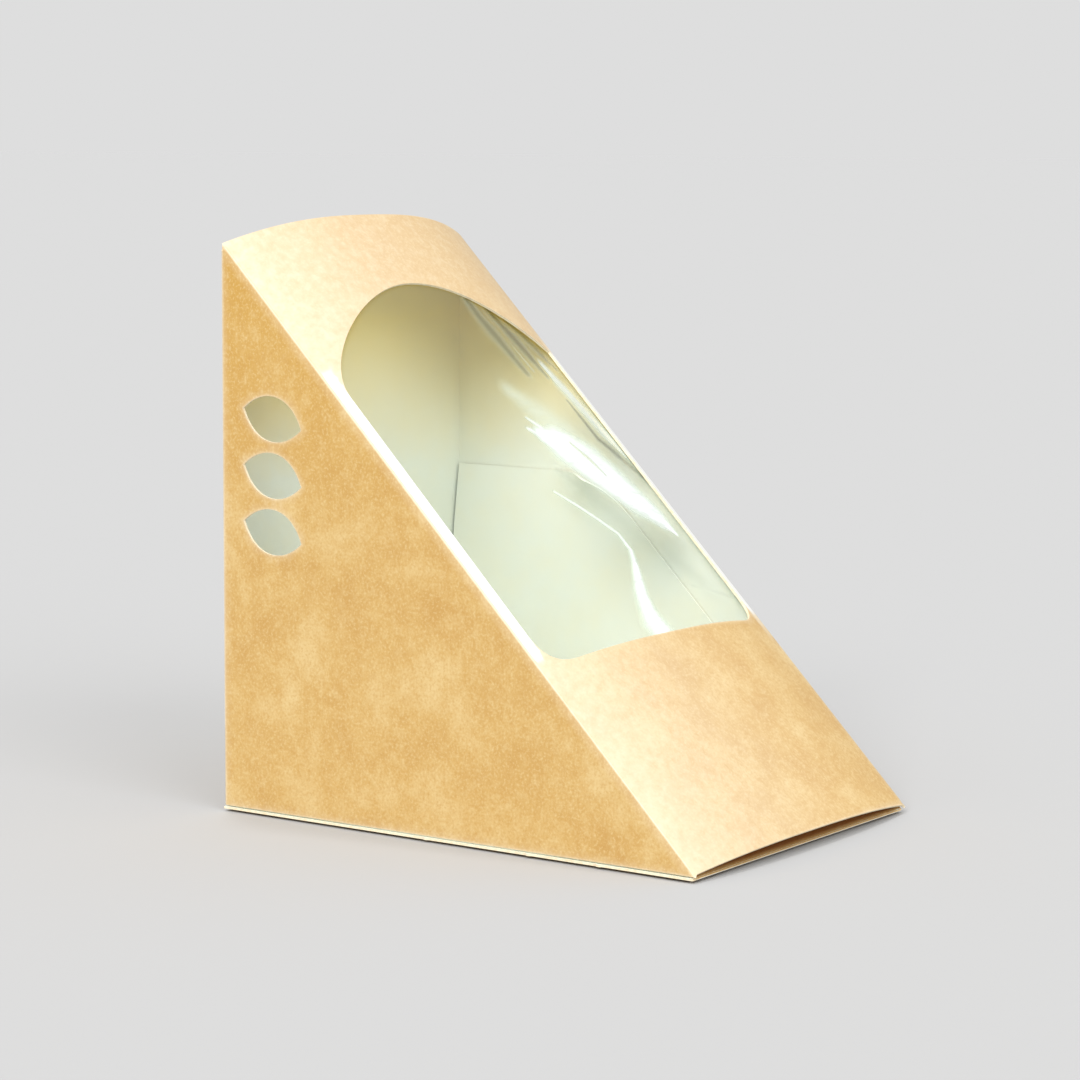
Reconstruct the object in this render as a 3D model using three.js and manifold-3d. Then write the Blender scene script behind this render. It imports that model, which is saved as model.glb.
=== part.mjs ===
// Sandwich wedge pack: a folded kraft board carton with a clear film window in its sloping front,
// and a base lid that swings open on the fold at the foot of the back panel.
// Millimetres, +Z up. The origin is the middle of the base lid's underside, the front is at -Y,
// and the side panel with the leaf-shaped vents is at -X.

import * as THREE from 'three';
import { mergeVertices } from 'three/addons/utils/BufferGeometryUtils.js';
import Module from 'manifold-3d';

// Whole pack
const packWidth = 86;
const backHeight = 123;
const baseDepth = 122;
const board = 0.5;
const film = 0.3;
const clearance = 0.3;

// Sloping front panel, which bows outward between its two side folds
const topBulge = 7.9;
const footBulge = 3.3;
const bulgePower = 2.6;
const footTrim = 1.7;
const bulgeSteps = 32;
const slopeSteps = 4;

// Window in the front panel, measured down the slope from its top
const windowEdgeStrip = 2.7;
const archCrown = 20.8;
const archCrownShift = -3;
const leftShoulder = 46;
const rightShoulder = 38.5;
const windowFoot = 119.3;
const windowCorner = 8;
const archCrownReach = 16;
const leftShoulderReach = 12;
const rightShoulderReach = 14;
const rightShoulderDrop = 7;

// Film behind the window
const filmOverlapTop = 9;
const filmOverlapFoot = 8;

// Leaf-shaped vents in the left side panel
const ventCount = 3;
const ventPitch = 12.1;
const ventTopHeight = 87.7;
const ventFromBack = 6;
const ventLength = 15.8;
const ventDrop = 4;
const ventSwell = 4.4;
const ventRearReach = 4.9;
const ventFrontReach = 3.1;

// Flaps of the carton
const topFlapLength = 12;
const topFlapCorner = 5;
const glueFlapWidth = 9;
const glueFlapInset = 4;

// Base lid and its flaps
const lidOverhang = 0.4;
const tuckLength = 24;
const tuckCorner = 6;
const sideFlapHeight = 69;
const sideFlapTopDepth = 40;
const sideFlapCorner = 5;
const sideFlapToeHeight = 8;

const curveSteps = 12;

// Values worked out from the sizes above
const halfWidth = packWidth / 2;
const backY = baseDepth / 2;
const frontY = -baseDepth / 2;
const slopeLength = Math.hypot(backHeight, baseDepth);
const panelFoot = board + clearance;
const innerHalfWidth = halfWidth - board - clearance;
const topTrim = (board * backHeight) / baseDepth;

// Slope axes: X across the pack, then down the slope, then out of the pack at a right angle to it
const slopeTop = new THREE.Vector3(0, backY, backHeight);
const slopeDown = new THREE.Vector3(0, -baseDepth, -backHeight).normalize();
const slopeOut = new THREE.Vector3(0, -backHeight, baseDepth).normalize();

const wasm = await Module();
wasm.setup();

/** The closed three.js geometry as a solid that can be joined and cut. */
function solidFrom(geometry) {
  const bare = geometry.clone();
  bare.deleteAttribute('normal');
  bare.deleteAttribute('uv');
  const merged = mergeVertices(bare, 1e-5);
  return new wasm.Manifold(new wasm.Mesh({
    numProp: 3,
    vertProperties: new Float32Array(merged.attributes.position.array),
    triVerts: new Uint32Array(merged.index.array),
  }));
}

/** The solid's triangles as a three.js geometry. */
function geometryFrom(solid) {
  const mesh = solid.getMesh();
  const geometry = new THREE.BufferGeometry();
  geometry.setAttribute('position', new THREE.BufferAttribute(new Float32Array(mesh.vertProperties), 3));
  geometry.setIndex(new THREE.BufferAttribute(new Uint32Array(mesh.triVerts), 1));
  geometry.computeVertexNormals();
  return geometry;
}

/** All the solids joined to one. */
function join(solids) {
  return solids.reduce((whole, next) => whole.add(next));
}

/** A block between two corners. */
function block(low, high) {
  const size = high.map((value, axis) => value - low[axis]);
  const geometry = new THREE.BoxGeometry(...size);
  geometry.translate(...low.map((value, axis) => value + size[axis] / 2));
  return solidFrom(geometry);
}

/** A flat sheet: the outline extruded from one height to another along the plane's third axis. */
function sheet(outline, from, to, plane) {
  const geometry = new THREE.ExtrudeGeometry(outline, {
    depth: to - from,
    bevelEnabled: false,
    curveSegments: curveSteps,
  });
  geometry.translate(0, 0, from);
  geometry.applyMatrix4(plane);
  return solidFrom(geometry);
}

/** A plane whose outlines are drawn in depth (Y) and height (Z), with its third axis along +X. */
function sidePlane() {
  return new THREE.Matrix4().makeBasis(
    new THREE.Vector3(0, 1, 0),
    new THREE.Vector3(0, 0, 1),
    new THREE.Vector3(1, 0, 0),
  );
}

/** A plane whose outlines are drawn across the pack and up the slope, so that -Y is down the slope. */
function slopePlane() {
  const up = slopeDown.clone().negate();
  return new THREE.Matrix4().makeBasis(new THREE.Vector3(1, 0, 0), up, slopeOut).setPosition(slopeTop);
}

/** An outline with straight sides, from its corners in order. */
function polygon(corners) {
  return new THREE.Shape(corners.map(([x, y]) => new THREE.Vector2(x, y)));
}

/** A flap's outline from its fold to its free end, whose two corners are rounded. */
function flapOutline(halfSpan, foldAt, endAt, corner) {
  const toward = Math.sign(endAt - foldAt);
  const outline = new THREE.Shape();
  outline.moveTo(-halfSpan, foldAt);
  outline.lineTo(-halfSpan, endAt - toward * corner);
  outline.quadraticCurveTo(-halfSpan, endAt, -halfSpan + corner, endAt);
  outline.lineTo(halfSpan - corner, endAt);
  outline.quadraticCurveTo(halfSpan, endAt, halfSpan, endAt - toward * corner);
  outline.lineTo(halfSpan, foldAt);
  return outline;
}

/** How far the bowed front stands out of the slope plane, across the pack and down the slope. */
function bulgeAt(across, down) {
  const share = down / slopeLength;
  const crest = topBulge + (footBulge - topBulge) * share;
  return crest * (1 - Math.abs(across / halfWidth) ** bulgePower);
}

/** A bowed sheet parallel to the front panel, between two depths under its outer face. */
function bowedSheet(halfSpan, fromDown, toDown, fromDepth, toDepth) {
  const thickness = toDepth - fromDepth;
  const length = toDown - fromDown;
  const geometry = new THREE.BoxGeometry(2 * halfSpan, length, thickness, bulgeSteps, slopeSteps, 1);
  geometry.translate(0, -(fromDown + toDown) / 2, -(fromDepth + toDepth) / 2);
  const places = geometry.attributes.position;
  for (let i = 0; i < places.count; i += 1) {
    const lift = bulgeAt(places.getX(i), -places.getY(i));
    places.setZ(i, places.getZ(i) + lift);
  }
  geometry.applyMatrix4(slopePlane());
  return solidFrom(geometry);
}

/** The window: an arch with its crown off centre over straight sides and a foot with round corners. */
function windowOutline() {
  const side = halfWidth - windowEdgeStrip;
  const outline = new THREE.Shape();
  outline.moveTo(side, -rightShoulder);
  outline.bezierCurveTo(
    side - rightShoulderReach, -(rightShoulder - rightShoulderDrop),
    archCrownShift + archCrownReach, -archCrown,
    archCrownShift, -archCrown,
  );
  outline.bezierCurveTo(
    archCrownShift - archCrownReach, -archCrown,
    -side, -(leftShoulder - leftShoulderReach),
    -side, -leftShoulder,
  );
  outline.lineTo(-side, -(windowFoot - windowCorner));
  outline.quadraticCurveTo(-side, -windowFoot, -side + windowCorner, -windowFoot);
  outline.lineTo(side - windowCorner, -windowFoot);
  outline.quadraticCurveTo(side, -windowFoot, side, -(windowFoot - windowCorner));
  return outline;
}

/** A leaf whose point at the back is the given place; its lower edge is the upper one turned half round. */
function leafOutline(tipY, tipZ) {
  const leaf = new THREE.Path();
  const at = (forward, up) => [tipY - forward, tipZ + up];
  leaf.moveTo(...at(0, 0));
  leaf.bezierCurveTo(
    ...at(ventRearReach, ventSwell),
    ...at(ventLength - ventFrontReach, ventSwell),
    ...at(ventLength, -ventDrop),
  );
  leaf.bezierCurveTo(
    ...at(ventLength - ventRearReach, -ventDrop - ventSwell),
    ...at(ventFrontReach, -ventDrop - ventSwell),
    ...at(0, 0),
  );
  return leaf;
}

/** One triangular side panel, from its inner to its outer face, with the vents given. */
function sidePanel(fromX, toX, vents) {
  const toeY = frontY + (panelFoot * baseDepth) / backHeight;
  const outline = polygon([[backY, panelFoot], [backY, backHeight], [toeY, panelFoot]]);
  outline.holes.push(...vents);
  return sheet(outline, fromX, toX, sidePlane());
}

/** The bowed front panel with its window cut out. */
function frontPanel() {
  const whole = bowedSheet(halfWidth, topTrim, slopeLength - footTrim, 0, board);
  const opening = sheet(windowOutline(), -topBulge, 2 * topBulge, slopePlane());
  return whole.subtract(opening);
}

/** The flap folded down from the back panel's top, which lies behind the top of the front panel. */
function topFlap() {
  const start = ((panelFoot + board) * backHeight) / baseDepth;
  const outline = flapOutline(innerHalfWidth, -start, -(start + topFlapLength), topFlapCorner);
  return sheet(outline, -(panelFoot + board), -panelFoot, slopePlane());
}

/** The back panel with the top flap, and the glue flap of the left side panel on its inner face. */
function backPanel() {
  const topZ = backHeight - 3 * board;
  const panel = block([-halfWidth, backY - board, panelFoot], [halfWidth, backY, topZ]);
  const glueFlap = block(
    [-halfWidth + board / 2, backY - 2 * board, panelFoot + glueFlapInset],
    [-halfWidth + glueFlapWidth, backY - board / 2, topZ - topFlapLength],
  );
  return join([panel, glueFlap, topFlap()]);
}

/** The whole folded carton. */
function carton() {
  const vents = Array.from({ length: ventCount }, (_, row) => (
    leafOutline(backY - ventFromBack, ventTopHeight - row * ventPitch)
  ));
  return join([
    sidePanel(-halfWidth, -halfWidth + board, vents),
    sidePanel(halfWidth - board, halfWidth, []),
    frontPanel(),
    backPanel(),
  ]);
}

/** The clear film behind the window, bowed with the front panel. */
function windowFilm() {
  const depth = panelFoot;
  return bowedSheet(innerHalfWidth, archCrown - filmOverlapTop, windowFoot + filmOverlapFoot, depth, depth + film);
}

/** The lid's flap that stands inside the right side panel, with a slanted front edge like the slope. */
function sideFlap() {
  const back = backY - board - clearance;
  const topFront = backY - sideFlapTopDepth;
  const slant = baseDepth / backHeight;
  const toeY = topFront - (sideFlapHeight - sideFlapToeHeight) * slant;
  const outline = new THREE.Shape();
  outline.moveTo(back, 0);
  outline.lineTo(back, sideFlapHeight);
  outline.lineTo(topFront + sideFlapCorner, sideFlapHeight);
  outline.quadraticCurveTo(
    topFront, sideFlapHeight,
    topFront - sideFlapCorner * slant, sideFlapHeight - sideFlapCorner,
  );
  outline.lineTo(toeY, sideFlapToeHeight);
  outline.lineTo(toeY, 0);
  return sheet(outline, innerHalfWidth - board, innerHalfWidth, sidePlane());
}

/** The lid's flap that tucks up behind the foot of the front panel. */
function tuckFlap() {
  const end = slopeLength - tuckLength;
  const start = slopeLength - ((panelFoot + board) * baseDepth) / backHeight;
  const outline = flapOutline(innerHalfWidth, -start, -end, tuckCorner);
  return sheet(outline, -(panelFoot + board), -panelFoot, slopePlane());
}

/** The base lid: the panel that the pack stands on, with its two flaps. */
function baseLid() {
  const foldY = frontY + (panelFoot * slopeLength) / backHeight;
  const base = block([-halfWidth - lidOverhang, foldY, 0], [innerHalfWidth, backY, board]);
  return join([base, sideFlap(), tuckFlap()]);
}

const kraftBoard = new THREE.MeshStandardMaterial({ color: 0xd9a860, roughness: 0.85, metalness: 0 });
const lidBoard = new THREE.MeshStandardMaterial({ color: 0xd2a05a, roughness: 0.85, metalness: 0 });
const clearFilm = new THREE.MeshStandardMaterial({
  color: 0xf2faf6,
  roughness: 0.08,
  metalness: 0,
  transparent: true,
  opacity: 0.2,
});

/** One named piece of the pack. */
function piece(name, solid, material) {
  const mesh = new THREE.Mesh(geometryFrom(solid), material);
  mesh.name = name;
  return mesh;
}

const pack = new THREE.Group();
pack.add(piece('carton', carton(), kraftBoard));
pack.add(piece('window_film', windowFilm(), clearFilm));
pack.add(piece('base_lid', baseLid(), lidBoard));

export default pack;
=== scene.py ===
"""Sandwich wedge pack, dressed: folded kraft board lined white inside, and a creased clear film.

The board is built as it is made: each sheet is a die-cut outline in a flat plan, triangulated
once, and a fold map carries the plan to its place with rounded folds. Lengths are metres, +Z is
up, and the front is at -Y.
"""
import logging
import math
from dataclasses import dataclass
from enum import Enum
from typing import Callable

import bpy
import numpy as np
from mathutils import Matrix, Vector
from mathutils.geometry import delaunay_2d_cdt


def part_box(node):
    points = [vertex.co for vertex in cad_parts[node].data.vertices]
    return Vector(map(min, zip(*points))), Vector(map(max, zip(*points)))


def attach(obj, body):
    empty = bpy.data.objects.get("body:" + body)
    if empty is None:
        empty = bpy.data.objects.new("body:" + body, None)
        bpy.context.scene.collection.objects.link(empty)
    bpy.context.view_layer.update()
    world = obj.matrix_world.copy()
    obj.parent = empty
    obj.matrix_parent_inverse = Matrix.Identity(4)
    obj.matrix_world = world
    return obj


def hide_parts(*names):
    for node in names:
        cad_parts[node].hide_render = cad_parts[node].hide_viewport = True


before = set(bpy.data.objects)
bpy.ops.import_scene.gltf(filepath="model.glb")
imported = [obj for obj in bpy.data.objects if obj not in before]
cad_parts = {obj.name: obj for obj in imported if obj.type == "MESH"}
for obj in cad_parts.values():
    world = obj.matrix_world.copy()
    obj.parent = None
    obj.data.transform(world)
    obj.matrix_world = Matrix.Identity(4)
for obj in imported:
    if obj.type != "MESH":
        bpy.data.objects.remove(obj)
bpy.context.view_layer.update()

LOG = logging.getLogger("wedge_pack")

Array = np.ndarray
Colour = tuple[float, float, float]
FoldMap = Callable[[Array], Array]
WearAndPaintedLight = Callable[[Array, Array], Array]
Span = tuple[float, float, float]
Socket = bpy.types.NodeSocket
Piece = bpy.types.Object
Material = bpy.types.Material

MM = 0.001
# Rows of points run along each fold at these shares of its radius.
FOLD_SHARES = (-1, -0.5, 0, 0.5, 1)
# Points on a flap's rounded corner.
CORNER_POINTS = 10
# Shading breaks where faces meet at more than this angle.
SHARP_ANGLE = math.radians(50)


def srgb(red: float, green: float, blue: float) -> Colour:
    """Turn a colour from screen values (0 to 255) to the linear values that shaders use.

    Args:
        red: Red's screen value.
        green: Green's screen value.
        blue: Blue's screen value.

    Returns:
        The three linear values.
    """
    shares = np.array([red, green, blue]) / 255
    linear = np.where(shares <= 0.04045, shares / 12.92, ((shares + 0.055) / 1.055) ** 2.4)
    return tuple(float(value) for value in linear)


def unit(values: Array) -> Array:
    """Hold values between 0 and 1."""
    return np.clip(values, 0, 1)


class Face(Enum):
    """The three faces of a cut board, by material index."""

    OUTSIDE = 0
    INSIDE = 1
    CUT_EDGE = 2


@dataclass(frozen=True)
class PackSizes:
    """The pack's driving sizes, the same as in the solid model."""

    half_width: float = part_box("carton")[1].x
    back_y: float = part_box("carton")[1].y
    height: float = 123 * MM
    board: float = 0.5 * MM
    clearance: float = 0.3 * MM
    fold: float = 0.45 * MM
    top_bulge: float = 7.9 * MM
    foot_bulge: float = 3.3 * MM
    bulge_power: float = 2.6
    foot_trim: float = 1.7 * MM

    @property
    def depth(self) -> float:
        """Give the base leg of the wedge."""
        return 2 * self.back_y

    @property
    def slope(self) -> float:
        """Give the length of the sloping front."""
        return math.hypot(self.height, self.depth)

    @property
    def panel_foot(self) -> float:
        """Give the height of the panels' lower edges above the ground."""
        return self.board + self.clearance

    @property
    def inner_half_width(self) -> float:
        """Give the half width of what fits between the side panels."""
        return self.half_width - self.board - self.clearance

    @property
    def middle(self) -> Array:
        """Give a point inside the pack, which every sheet's outer face points away from."""
        return np.array([0, self.back_y / 3, self.height / 3])


class SlopeFrame:
    """The sloping front's own axes: across the pack, down the slope and out of the pack."""

    def __init__(self, sizes: PackSizes) -> None:
        """Work the axes out.

        Args:
            sizes: The pack's driving sizes.
        """
        self.sizes = sizes
        self.top = np.array([0.0, sizes.back_y, sizes.height])
        self.down = np.array([0.0, -sizes.depth, -sizes.height]) / sizes.slope
        self.out = np.array([0.0, -sizes.height, sizes.depth]) / sizes.slope

    def bulge(self, across: Array, down: Array) -> Array:
        """Give how far the bowed front stands out of the slope plane.

        The crest falls evenly from the top to the foot. Across the pack the stand-off is the crest
        times one minus the share of the half width raised to a power.

        Args:
            across: Distance from the middle of the pack.
            down: Distance down the slope.

        Returns:
            The stand-off of each point.
        """
        sizes = self.sizes
        crest = sizes.top_bulge + (sizes.foot_bulge - sizes.top_bulge) * down / sizes.slope
        share = np.minimum(np.abs(across / sizes.half_width), 1.0)
        return crest * (1 - share ** sizes.bulge_power)

    def place(self, across: Array, down: Array, out: Array) -> Array:
        """Put points given in the slope's axes into the pack's frame."""
        place = self.top + np.outer(down, self.down) + np.outer(out, self.out)
        place[:, 0] += across
        return place

    def of_side(self, y: Array, z: Array) -> Array:
        """Give how far down the slope and how far below it points of a side panel lie."""
        offset = np.column_stack([np.zeros_like(y), y, z]) - self.top
        return np.column_stack([offset @ self.down, -(offset @ self.out)])


def bezier(points: list[tuple[float, float]], count: int) -> Array:
    """Sample a Bezier curve, leaving its last point to the next stretch.

    Args:
        points: Two ends with one or two handles between them.
        count: Number of samples.

    Returns:
        The samples, one row each: the control points weighted by the Bernstein polynomials.
    """
    share = np.linspace(0, 1, count, endpoint=False)[:, None]
    degree = len(points) - 1
    return sum(
        math.comb(degree, k) * share ** k * (1 - share) ** (degree - k) * np.array(point)
        for k, point in enumerate(points)
    )


def densify(outline: Array, step: float) -> Array:
    """Add points to a closed outline so that none of its sides is longer than a step."""
    following = np.roll(outline, -1, axis=0)
    runs = []
    for start, end in zip(outline, following):
        count = max(1, int(math.ceil(np.linalg.norm(end - start) / step)))
        share = np.linspace(0, 1, count, endpoint=False)[:, None]
        runs.append(start + share * (end - start))
    return np.vstack(runs)


def inside(points: Array, outline: Array) -> Array:
    """Tell which points lie inside a closed outline, by counting the sides that a ray crosses.

    Args:
        points: The points, one row each.
        outline: The outline's corners in order.

    Returns:
        True for each point inside.
    """
    x, y = points[:, :1], points[:, 1:]
    ax, ay = outline[:, 0], outline[:, 1]
    bx, by = np.roll(ax, -1), np.roll(ay, -1)
    spans = (ay > y) != (by > y)
    rise = np.where(by == ay, 1e-12, by - ay)
    crossing = (bx - ax) * (y - ay) / rise + ax
    return np.count_nonzero(spans & (x < crossing), axis=1) % 2 == 1


def nearest(points: Array, marks: Array, block_size: int = 500) -> Array:
    """Give each point's distance to the nearest mark, in blocks that keep memory small."""
    blocks = np.array_split(points, max(1, len(points) // block_size))
    return np.concatenate([
        np.sqrt(((block[:, None, :] - marks[None]) ** 2).sum(2).min(1)) for block in blocks
    ])


def flap_end(half: float, end: float, bend: float) -> Array:
    """Give the outline of a flap's free end from right to left, with two rounded corners.

    Args:
        half: Half the flap's width.
        end: Where the flap ends, up the plan.
        bend: How far each corner's curve reaches.

    Returns:
        The outline's points.
    """
    return np.vstack([
        bezier([(half, end - bend), (half, end), (half - bend, end)], CORNER_POINTS),
        bezier([(bend - half, end), (-half, end), (-half, end - bend)], CORNER_POINTS),
        [[-half, end - bend]],
    ])


@dataclass
class DieCut:
    """A flat sheet with holes, cut and triangulated in its own plan.

    A band of points runs beside every cut. Other points keep clear of it, by shares of the band
    or of the step.
    """

    outline: Array
    holes: list[Array]
    step: float
    crease_points: Array | None = None
    rim_band: float = 0.45 * MM
    band_clear: float = 0.8
    rim_clear: float = 0.2
    crease_clear: float = 0.5

    def triangulate(self) -> tuple[Array, Array, Array]:
        """Fill the sheet with a grid of points and join them to triangles.

        Triangles whose middle lies outside the sheet or in a hole are dropped.

        Returns:
            The points, the triangles, and each point's distance to the nearest cut edge.
        """
        loops = [densify(loop, self.step / 2) for loop in [self.outline, *self.holes]]
        rim = np.vstack(loops)
        band = np.vstack([self.beside(loop) for loop in loops])
        band = band[self.covers(band) & (nearest(band, rim) > self.band_clear * self.rim_band)]
        low, high = rim.min(0), rim.max(0)
        columns = np.arange(low[0], high[0], self.step)
        rows = np.arange(low[1], high[1], self.step)
        grid = np.stack(np.meshgrid(columns, rows), axis=-1).reshape(-1, 2)
        if self.crease_points is not None:
            grid = grid[nearest(grid, self.crease_points) > self.crease_clear * self.step]
            grid = np.vstack([grid, self.crease_points])
        grid = grid[nearest(grid, rim) > self.rim_band + self.rim_clear * self.step]
        grid = np.vstack([grid[self.covers(grid)], band])
        edges = []
        start = 0
        for loop in loops:
            order = np.arange(start, start + len(loop))
            edges.extend(np.column_stack([order, np.roll(order, -1)]).tolist())
            start += len(loop)
        points = np.vstack([rim, grid]) / MM
        solved = delaunay_2d_cdt(points.tolist(), edges, [], 0, 1e-5)
        points = np.array([tuple(point) for point in solved[0]]) * MM
        triangles = np.array([tuple(face) for face in solved[2]])
        middles = points[triangles].mean(1)
        return points, triangles[self.covers(middles)], nearest(points, rim)

    def beside(self, loop: Array) -> Array:
        """Give the points that lie a band's width to either side of a cut."""
        way = np.roll(loop, -1, axis=0) - np.roll(loop, 1, axis=0)
        length = np.maximum(np.linalg.norm(way, axis=1, keepdims=True), 1e-12)
        across = way[:, ::-1] * [1, -1] / length
        return np.vstack([loop + self.rim_band * across, loop - self.rim_band * across])

    def covers(self, points: Array) -> Array:
        """Tell which points lie on the sheet and in none of its holes."""
        kept = inside(points, self.outline)
        for hole in self.holes:
            kept &= ~inside(points, hole)
        return kept


def normals_of(fold: FoldMap, points: Array) -> Array:
    """Give the folded surface's normals: the cross product of its two small differences."""
    step = 0.02 * MM
    across = fold(points + [step, 0]) - fold(points - [step, 0])
    along = fold(points + [0, step]) - fold(points - [0, step])
    normal = np.cross(across, along)
    return normal / np.linalg.norm(normal, axis=1, keepdims=True)


def facing(fold: FoldMap, probe: list[float], middle: Array) -> float:
    """Tell whether a folded sheet's normal at a plan point leads away from a middle, as 1 or -1."""
    point = np.array([probe])
    return float(np.sign((normals_of(fold, point) * (fold(point) - middle)).sum()))


def worn_edges(to_cut: Array, to_fold: Array, reach: float, shares: tuple[float, float]) -> Array:
    """Give the wear beside cuts, a falling exponential, and along folds, a bell.

    Args:
        to_cut: Distance to the nearest cut.
        to_fold: Distance to the nearest fold.
        reach: How far the wear reaches.
        shares: The wear at a cut and on a fold.

    Returns:
        The larger of the two at each point.
    """
    at_cuts = np.exp(-to_cut / reach) * shares[0]
    return np.maximum(at_cuts, np.exp(-(to_fold / reach) ** 2) * shares[1])


@dataclass
class Shell:
    """Vertices and faces of a closed sheet, with a value at each vertex for wear and painted light.
    """

    points: Array
    faces: list[list[int]]
    kinds: list[int]
    wear_and_painted_light: Array


def folded_shell(
    cut: DieCut,
    fold: FoldMap,
    sizes: PackSizes,
    probe: list[float],
    wear_and_painted_light: WearAndPaintedLight,
    rim_face: Face = Face.CUT_EDGE,
) -> Shell:
    """Fold a die-cut sheet and give it its thickness, inward from its outer face.

    Args:
        cut: The flat sheet.
        fold: The map from plan to place.
        sizes: The pack's driving sizes.
        probe: A plan point where the outer face points away from the pack's middle.
        wear_and_painted_light: A function of the plan points and their distance to a cut, which
            gives the wear and the painted light.
        rim_face: What the rim looks like.

    Returns:
        The closed sheet: outer faces, inner faces and a rim of cut edges.
    """
    outward = facing(fold, probe, sizes.middle)
    plan, triangles, to_cut = cut.triangulate()
    outer = fold(plan)
    inner = outer - outward * sizes.board * normals_of(fold, plan)
    corner = outer[triangles]
    way = np.cross(corner[:, 1] - corner[:, 0], corner[:, 2] - corner[:, 0])
    wanted = outward * normals_of(fold, plan[triangles].mean(1))
    turned = (way * wanted).sum(1) < 0
    triangles[turned] = triangles[turned][:, ::-1]
    count = len(plan)
    sides = np.vstack([triangles[:, [0, 1]], triangles[:, [1, 2]], triangles[:, [2, 0]]])
    keys = np.sort(sides, axis=1)
    _, first, times = np.unique(keys, axis=0, return_index=True, return_counts=True)
    rim = sides[first[times == 1]]
    quads = np.column_stack([rim[:, 1], rim[:, 0], rim[:, 0] + count, rim[:, 1] + count])
    faces = [*triangles.tolist(), *(triangles[:, ::-1] + count).tolist(), *quads.tolist()]
    kinds = [Face.OUTSIDE.value] * len(triangles) + [Face.INSIDE.value] * len(triangles)
    kinds += [rim_face.value] * len(quads)
    wear_and_sheen = wear_and_painted_light(plan, to_cut)
    return Shell(np.vstack([outer, inner]), faces, kinds, np.concatenate([wear_and_sheen, wear_and_sheen]))


def mesh_piece(name: str, shells: list[Shell], materials: list[Material]) -> Piece:
    """Put closed sheets into one mesh object.

    Args:
        name: The piece's name.
        shells: Its sheets.
        materials: Its materials, in the order of the face kinds.

    Returns:
        The object, at the origin.
    """
    starts = np.cumsum([0, *[len(shell.points) for shell in shells[:-1]]])
    faces = [
        [int(start) + corner for corner in face]
        for start, shell in zip(starts, shells)
        for face in shell.faces
    ]
    mesh = bpy.data.meshes.new(name)
    mesh.from_pydata(np.vstack([shell.points for shell in shells]).tolist(), [], faces)
    kinds = np.concatenate([shell.kinds for shell in shells]).astype(np.int32)
    mesh.polygons.foreach_set("material_index", kinds)
    mesh.polygons.foreach_set("use_smooth", np.ones(len(faces), dtype=bool))
    # Each vertex's value holds wear and painted light: painted sheen, highlights and shade on the
    # board, painted reflections and shade on the film.
    wear_and_painted_light = np.concatenate([shell.wear_and_painted_light for shell in shells]).astype(np.float32)
    mesh.attributes.new("wear_and_painted_light", "FLOAT", "POINT").data.foreach_set("value", wear_and_painted_light)
    mesh.set_sharp_from_angle(angle=SHARP_ANGLE)
    for material in materials:
        mesh.materials.append(material)
    mesh.validate()
    piece = bpy.data.objects.new(name, mesh)
    bpy.context.scene.collection.objects.link(piece)
    return piece


def corner_profile(
    run: Array, start: Array, corner: Array, end_way: Array, radius: float
) -> Array:
    """Carry points along a straight way, round a fold and on along a second way.

    Before the fold a point lies on the first way, after it on the second. Within the radius of the
    corner it follows a quadratic curve whose handle is the corner itself.

    Args:
        run: Distance travelled by each point.
        start: Where the first way begins.
        corner: Where the two ways would meet.
        end_way: Unit direction of the second way.
        radius: How far from the corner the fold begins and ends.

    Returns:
        The place of each point.
    """
    first = np.linalg.norm(corner - start)
    first_way = (corner - start) / first
    past = run - first
    share = unit((past + radius) / (2 * radius))[:, None]
    round_part = (
        (1 - share) ** 2 * (corner - radius * first_way)
        + 2 * share * (1 - share) * corner
        + share ** 2 * (corner + radius * end_way)
    )
    before = np.minimum(past + radius, 0)[:, None] * first_way
    after = np.maximum(past - radius, 0)[:, None] * end_way
    return round_part + before + after


def fold_lines(
    offsets: list[float],
    ends: tuple[float, float],
    step: float,
    upright: bool,
    margin: float = 2 * MM,
) -> Array:
    """Give rows of plan points that run along a fold.

    Args:
        offsets: Where each row lies across the fold.
        ends: Where the fold begins and ends.
        step: Distance between points.
        upright: True where the fold runs up the plan, False where it runs across.
        margin: How far the rows stop from the fold's ends.

    Returns:
        The points.
    """
    run = np.arange(ends[0] + margin, ends[1] - margin, step)
    points = np.vstack([np.column_stack([np.full_like(run, offset), run]) for offset in offsets])
    return points if upright else points[:, ::-1]


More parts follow.
